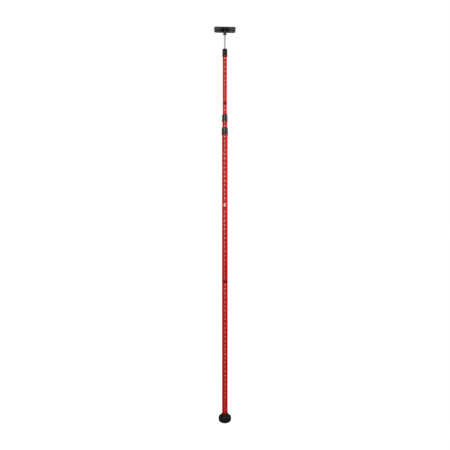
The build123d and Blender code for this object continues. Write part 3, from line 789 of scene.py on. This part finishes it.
class ROD_OT_rod(bpy.types.Operator):
    """Make the chromed push rod and the ball stud on its end"""

    bl_idname = "rod.push_rod"
    bl_label = "Push rod and ball stud"

    flare_rim = 1 * MM
    flare_height = 3.4 * MM
    flare_top = 5 * MM
    neck = 2.9 * MM
    ball = 5.5 * MM
    fillet = 0.6 * MM

    def execute(self, context):
        sizes = context.scene.rod_sizes
        low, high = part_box("push_rod")
        bar = [(0, low.z), (high.x, low.z), (high.x, high.z), (0, high.z)]
        bm = lathe(bar, {1: sizes.edge_round, 2: sizes.edge_round}, sizes.round_steps // 2, closed=False)
        finish_piece(bm, "push_rod_chromed", "rod", "rod_chrome", ["push_rod"])

        stud_low, stud_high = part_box("ball_stud")
        base = stud_low.z
        bore = high.x + SEAT_GAP
        ball_bottom = stud_high.z - self.ball - math.sqrt(self.ball ** 2 - self.neck ** 2)
        corners = [(0, high.z), (bore, high.z), (bore, base), (stud_high.x, base),
                   (stud_high.x, base + self.flare_rim), (self.flare_top, base + self.flare_height),
                   (self.neck, base + self.flare_height), (self.neck, ball_bottom)]
        rounds = {3: sizes.edge_round, 4: 2 * sizes.edge_round, 5: sizes.edge_round, 6: self.fillet}
        bm = lathe(corners, rounds, sizes.round_steps // 2, closed=False, ball=self.ball)
        finish_piece(bm, "ball_stud_turned", "rod", "dark_steel", ["ball_stud"])
        return {"FINISHED"}


class ROD_OT_spring(bpy.types.Operator):
    """Wind the compression spring, with a closed turn at each end"""

    bl_idname = "rod.spring"
    bl_label = "Spring"

    wire = 0.7 * MM
    turns = 9
    closed_rise = 2.2 * MM
    end_gap = 0.2 * MM
    wire_steps = 10
    turn_steps = 32

    def execute(self, context):
        low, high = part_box("spring")
        open_rise = high.z - low.z - 2 * (self.wire + self.closed_rise)
        bm = bmesh.new()
        bmesh.ops.create_circle(bm, cap_ends=True, radius=self.wire, segments=self.wire_steps)
        turn(bm, math.pi / 2, "X")
        bmesh.ops.translate(bm, verts=bm.verts, vec=(high.x - self.wire, 0, low.z + self.wire))
        wire_end = whole(bm)
        for turns, rise in ((1, self.closed_rise), (self.turns, open_rise), (1, self.closed_rise)):
            steps = turns * self.turn_steps
            wire_end = bmesh.ops.spin(bm, geom=wire_end, cent=(0, 0, 0), axis=(0, 0, 1),
                                      dvec=(0, 0, rise / steps), angle=2 * math.pi * turns,
                                      steps=steps)["geom_last"]
        spring = finish_piece(bm, "spring_wound", "upper", "spring_steel", ["spring"])
        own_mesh(spring)
        return {"FINISHED"}


class ROD_OT_pad(bpy.types.Operator):
    """Make the ceiling pad: its ribbed plate, its grooved facing and the ring that closes its socket"""

    bl_idname = "rod.pad"
    bl_label = "Ceiling pad"

    corner = 10.5 * MM
    corner_steps = 10
    edge_steps = 3
    plate = 5 * MM
    web = 2.4 * MM
    rim = 2.2 * MM
    rim_round = 0.8 * MM
    pocket_round = 0.4 * MM
    rib = 1.8 * MM
    rib_round = 0.3 * MM
    overlap = 0.3 * MM
    gusset_drop = 5.5 * MM
    boss_wall = 1.6 * MM
    boss_round = 0.5 * MM
    socket = 7.4 * MM
    ring_opening = 7.02 * MM
    ring_round = 0.4 * MM
    groove_count = 10
    groove_width = 1.4 * MM
    groove_depth = 0.9 * MM
    facing_round = 0.4 * MM

    def outline(self, low, high, height):
        """A bmesh of the pad's outline as one face with rounded corners."""
        bm = rectangle(high.x - low.x, high.y - low.y)
        bmesh.ops.translate(bm, verts=bm.verts, vec=(0, 0, height))
        round_off(bm, bm.verts[:], self.corner, self.corner_steps)
        return bm

    def round_edges(self, bm, edges, setback):
        """Round edges over."""
        round_off(bm, edges, setback, self.edge_steps, "EDGES")

    def gusset(self, reach, boss, top, bottom, tip):
        """A rib that deepens from the rim to the boss, along x."""
        bm = bmesh.new()
        corners = [bm.verts.new((x, -self.rib / 2, z)) for x, z in (
            (-reach, top), (-reach, bottom), (-boss, tip), (boss, tip), (reach, bottom), (reach, top))]
        face = bmesh.ops.contextual_create(bm, geom=corners)["faces"]
        raise_faces(bm, face, (0, self.rib, 0))
        self.round_edges(bm, bm.edges[:], self.rib_round)
        return bm

    def make_plate(self, context):
        """The plate: a rimmed tray upside down, with ribs to its corners, gussets and the socket's boss."""
        low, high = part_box("pad_plate")
        ring_low, ring_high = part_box("socket_ring")
        bottom = high.z - self.plate
        top = high.z - self.web
        bm = self.outline(low, high, bottom)
        raise_faces(bm, bm.faces[:], (0, 0, self.plate))
        underside = min(bm.faces, key=lambda face: face.calc_center_median().z)
        outer = underside.edges[:]
        bmesh.ops.inset_region(bm, faces=[underside], thickness=self.rim, use_even_offset=True)
        inner = underside.edges[:]
        raise_faces(bm, [underside], (0, 0, top - bottom))
        self.round_edges(bm, outer, self.rim_round)
        self.round_edges(bm, inner, self.pocket_round)

        # Ribs, gussets and boss run into the web by the overlap.
        roof = top + self.overlap
        corner = Vector((high.x - self.corner, high.y - self.corner))
        reach = corner.length + self.corner - self.rim / 2
        for side in (1, -1):
            rib = bmesh.new()
            bmesh.ops.create_cube(rib, size=1)
            bmesh.ops.scale(rib, verts=rib.verts, vec=(2 * reach, self.rib, roof - bottom))
            self.round_edges(rib, rib.edges[:], self.rib_round)
            turn(rib, side * math.atan2(corner.y, corner.x))
            bmesh.ops.translate(rib, verts=rib.verts, vec=(0, 0, (roof + bottom) / 2))
            join(bm, rib)
        seat = ring_high.x + SEAT_GAP
        boss = seat + self.boss_wall
        for half, radians in ((high.x, 0), (high.y, math.pi / 2)):
            gusset = self.gusset(half - self.rim / 2, boss, roof, bottom, bottom - self.gusset_drop)
            turn(gusset, radians)
            join(bm, gusset)
        socket_top = ring_high.z + self.socket
        corners = [(0, roof), (boss, roof), (boss, ring_low.z), (seat, ring_low.z), (seat, ring_high.z),
                   (self.socket, ring_high.z), (self.socket, socket_top), (0, socket_top)]
        join(bm, lathe(corners, {2: self.boss_round}, context.scene.rod_sizes.round_steps, closed=False))
        finish_piece(bm, "pad_plate_moulded", "pad", "pad_moulding", ["pad_plate"])

    def make_facing(self):
        """The rubber facing: a sheet with a row of lands between its cross grooves."""
        low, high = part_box("pad_facing")
        floor = high.z - self.groove_depth
        bm = self.outline(low, high, low.z)
        raise_faces(bm, bm.faces[:], (0, 0, floor - low.z))
        spacing = (high.x - low.x - 2 * self.corner) / (self.groove_count - 1)
        grooves = [low.x + self.corner + spacing * i for i in range(self.groove_count)]
        starts = [low.x - self.corner] + [x + self.groove_width / 2 for x in grooves]
        ends = [x - self.groove_width / 2 for x in grooves] + [high.x + self.corner]
        for start, end in zip(starts, ends):
            land = self.outline(low, high, floor - self.overlap)
            for x, side in ((start, 1), (end, -1)):
                bmesh.ops.bisect_plane(land, geom=whole(land), plane_co=(x, 0, 0), plane_no=(side, 0, 0),
                                       clear_inner=True)
            upper = raise_faces(land, land.faces[:], (0, 0, self.groove_depth + self.overlap))
            self.round_edges(land, [edge for face in upper for edge in face.edges], self.facing_round)
            join(bm, land)
        finish_piece(bm, "pad_facing_moulded", "pad", "pad_rubber", ["pad_facing"])

    def execute(self, context):
        self.make_plate(context)
        self.make_facing()
        low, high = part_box("socket_ring")
        corners = [(self.ring_opening, low.z), (high.x, low.z), (high.x, high.z), (self.socket, high.z)]
        bm = lathe(corners, {0: self.ring_round, 1: self.ring_round}, context.scene.rod_sizes.round_steps)
        finish_piece(bm, "socket_ring_turned", "pad", "black_moulding", ["socket_ring"])
        return {"FINISHED"}


class ROD_OT_inner(bpy.types.Operator):
    """Give every solid that shows as it is the finish of its slot"""

    bl_idname = "rod.inner_pieces"
    bl_label = "Inner pieces"

    def execute(self, context):
        for row in frame["record"]["subparts"]:
            node = frame["nodes"][row["node"]]
            for slot in node.material_slots:
                slot.material = finish_for(row["material_slot"])
        return {"FINISHED"}


class ROD_OT_stage(bpy.types.Operator):
    """Set up the floor, the lights, the white surround and the camera at the photograph's view"""

    bl_idname = "rod.stage"
    bl_label = "Studio"

    floor_size = 60.0
    floor_glow = 0.885
    floor_shade = 0.22
    sensor = 36.0

    def surround(self, context):
        """White all round to the eye, and a soft even light on the object."""
        world = bpy.data.worlds.new("white_surround")
        world.use_nodes = True
        context.scene.world = world
        tree = world.node_tree
        path = add(tree, "ShaderNodeLightPath")
        seen = add(tree, "ShaderNodeMath", {0: path.outputs["Is Camera Ray"],
                                            1: path.outputs["Is Glossy Ray"]}, operation="MAXIMUM")
        clear = add(tree, "ShaderNodeMath", {0: seen.outputs["Value"],
                                             1: path.outputs["Is Transmission Ray"]}, operation="MAXIMUM")
        strength = add(tree, "ShaderNodeMapRange", {"Value": clear.outputs["Value"],
                                                    "To Min": context.scene.rod_stage.sky, "To Max": 1.0})
        feed(tree, tree.nodes["Background"], {"Color": (1, 1, 1, 1), "Strength": strength.outputs["Result"]})

    def floor(self, context):
        """A pale floor. To the eye most of its white is its own glow, so that the lamps don't wash it out."""
        mesh = to_mesh(rectangle(self.floor_size, self.floor_size), "floor")
        material, tree, surface, _ = new_material("pale_floor")
        pale = context.scene.rod_colours.floor
        to_eye = add(tree, "ShaderNodeLightPath").outputs["Is Camera Ray"]
        tint = add(tree, "ShaderNodeMix", {"Factor": to_eye, "A": shade(pale, 1),
                                           "B": shade(pale, self.floor_shade)}, data_type="RGBA")
        glow = add(tree, "ShaderNodeMath", {0: to_eye, 1: self.floor_glow}, operation="MULTIPLY")
        feed(tree, surface, {"Base Color": tint.outputs["Result"], "Roughness": 0.9,
                             "Specular IOR Level": 0.0, "Emission Color": (1, 1, 1, 1),
                             "Emission Strength": glow.outputs["Value"]})
        mesh.materials.append(material)
        floor = put_in_scene("floor", mesh)

    def lamps(self, context):
        """Soft rectangular lights, which the camera doesn't see."""
        for name, (setting, size, place, gloss_only) in LAMPS.items():
            data = bpy.data.lights.new(name, "AREA")
            data.shape = "RECTANGLE"
            data.size, data.size_y = size
            data.energy = getattr(context.scene.rod_stage, setting)
            lamp = put_in_scene(name, data)
            lamp.location = place
            lamp.rotation_euler = Vector((-place[0], -place[1], 0)).to_track_quat("-Z", "Y").to_euler()
            lamp.visible_camera = False
            lamp.visible_diffuse = not gloss_only

    def camera(self, context):
        """The photograph's view: level with the middle of the pole, nearly straight on to the scale."""
        stage = context.scene.rod_stage
        data = bpy.data.cameras.new("camera")
        data.sensor_width = self.sensor
        data.lens = stage.lens
        camera = put_in_scene("camera", data)
        camera.location = (stage.camera_distance * math.sin(stage.camera_turn),
                           -stage.camera_distance * math.cos(stage.camera_turn), stage.camera_height)
        camera.rotation_euler = (math.pi / 2 - stage.camera_dip, 0, stage.camera_turn + stage.camera_pan)
        context.scene.camera = camera

    def execute(self, context):
        context.scene.view_settings.view_transform = "Standard"
        self.surround(context)
        self.floor(context)
        self.lamps(context)
        self.camera(context)
        return {"FINISHED"}


class ROD_PT_panel(bpy.types.Panel):
    """Lists the operators in the 3D view's sidebar"""

    bl_label = "Levelling rod"
    bl_idname = "ROD_PT_panel"
    bl_space_type = "VIEW_3D"
    bl_region_type = "UI"
    bl_category = "Levelling rod"

    def draw(self, context):
        for operator in OPERATORS:
            self.layout.operator(operator.bl_idname)


OPERATORS = (ROD_OT_inner, ROD_OT_tubes, ROD_OT_scales, ROD_OT_collars, ROD_OT_couplings, ROD_OT_foot,
             ROD_OT_rod, ROD_OT_spring, ROD_OT_pad, ROD_OT_stage)
GROUPS = {"rod_sizes": RodSizes, "rod_colours": RodColours, "rod_stage": RodStage}
CLASSES = (*GROUPS.values(), *OPERATORS, ROD_PT_panel)


def register():
    """Register the classes and hang the settings on the scene."""
    for kind in CLASSES:
        bpy.utils.register_class(kind)
    for name, group in GROUPS.items():
        setattr(bpy.types.Scene, name, PointerProperty(type=group))


def unregister():
    """Take the settings and classes away again."""
    for name in GROUPS:
        delattr(bpy.types.Scene, name)
    for kind in reversed(CLASSES):
        bpy.utils.unregister_class(kind)


def main():
    """Run every operator in order."""
    register()
    bpy.ops.rod.inner_pieces()
    bpy.ops.rod.tubes()
    bpy.ops.rod.scales()
    bpy.ops.rod.collars()
    bpy.ops.rod.couplings()
    bpy.ops.rod.foot()
    bpy.ops.rod.push_rod()
    bpy.ops.rod.spring()
    bpy.ops.rod.pad()
    bpy.ops.rod.stage()


if __name__ == "__main__":
    main()
